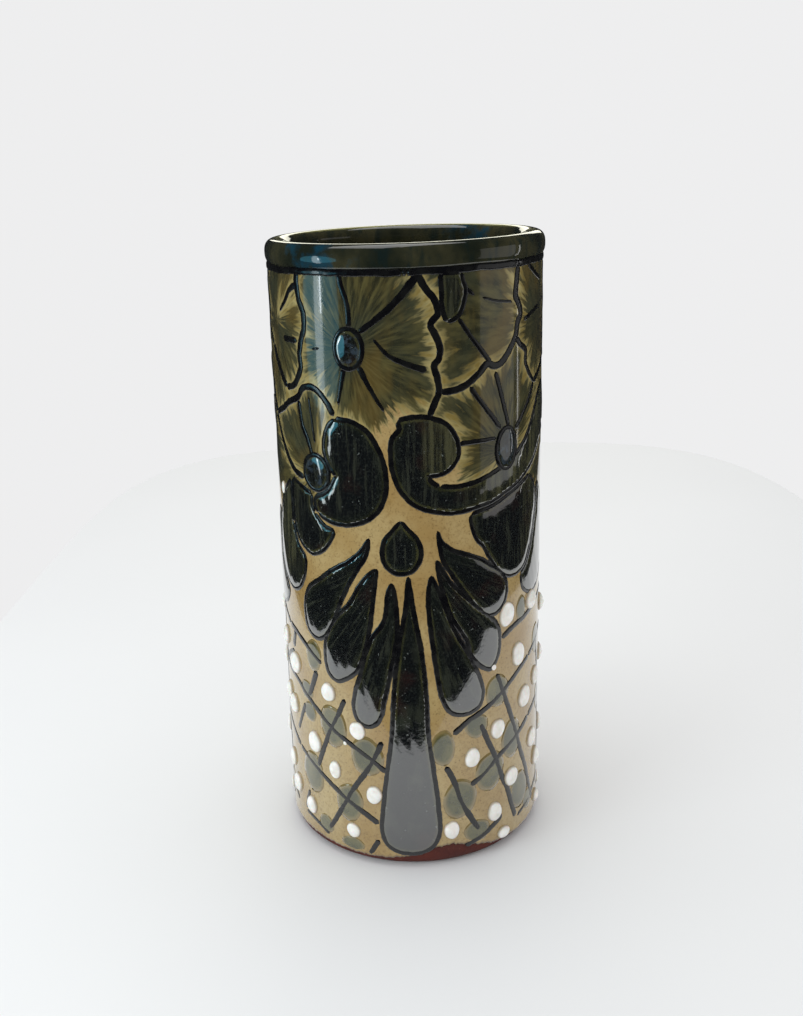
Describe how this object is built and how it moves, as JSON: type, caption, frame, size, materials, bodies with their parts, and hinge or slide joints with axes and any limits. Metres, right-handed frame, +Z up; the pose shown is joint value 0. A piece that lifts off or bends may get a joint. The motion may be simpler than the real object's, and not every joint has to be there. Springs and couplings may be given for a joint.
{
  "type": "pottery vase",
  "caption": "Tall straight cylinder vase in glazed earthenware with a rolled lip and raised hand-painted talavera decoration.",
  "frame": {"origin": "centre of the foot, on the surface that the vase stands on", "axes": "+Z up along the vase, front of the pattern faces -Y, +X to its right, where the lip is highest"},
  "size_m": [0.1036, 0.1008, 0.2299],
  "materials": {
    "bare_clay": "matt, fired terracotta",
    "honey_glaze": "glossy, speckled, with olive brush washes",
    "green_glaze": "glossy",
    "dark_glaze": "glossy, olive at thin edges",
    "outline_glaze": "satin to glossy",
    "olive_glaze": "glossy, translucent",
    "white_enamel": "glossy"
  },
  "bodies": {
    "root": {"clay_foot": "bare_clay", "clay_floor": "bare_clay", "clay_wall": "bare_clay", "clay_lip": "bare_clay", "outside_glaze": "honey_glaze", "inside_glaze": "green_glaze", "lip_glaze": "green_glaze", "lip_line": "outline_glaze", "white_dots": "white_enamel", "flower_eyes": "dark_glaze", "flower_rings": "outline_glaze", "paddle_outlines": "outline_glaze", "paddle_glaze": "dark_glaze", "teardrop_outlines": "outline_glaze", "teardrop_glaze": "dark_glaze", "fan_petal_outlines": "outline_glaze", "fan_petal_glaze": "dark_glaze", "scroll_outlines": "outline_glaze", "scroll_glaze": "dark_glaze", "pendant_outlines": "outline_glaze", "pendant_glaze": "dark_glaze", "rim_drop_outlines": "outline_glaze", "rim_drop_glaze": "dark_glaze", "flower_outlines": "outline_glaze", "flower_spokes": "outline_glaze", "lattice_lines": "outline_glaze", "lattice_spots": "olive_glaze"}
  },
  "joints": []
}
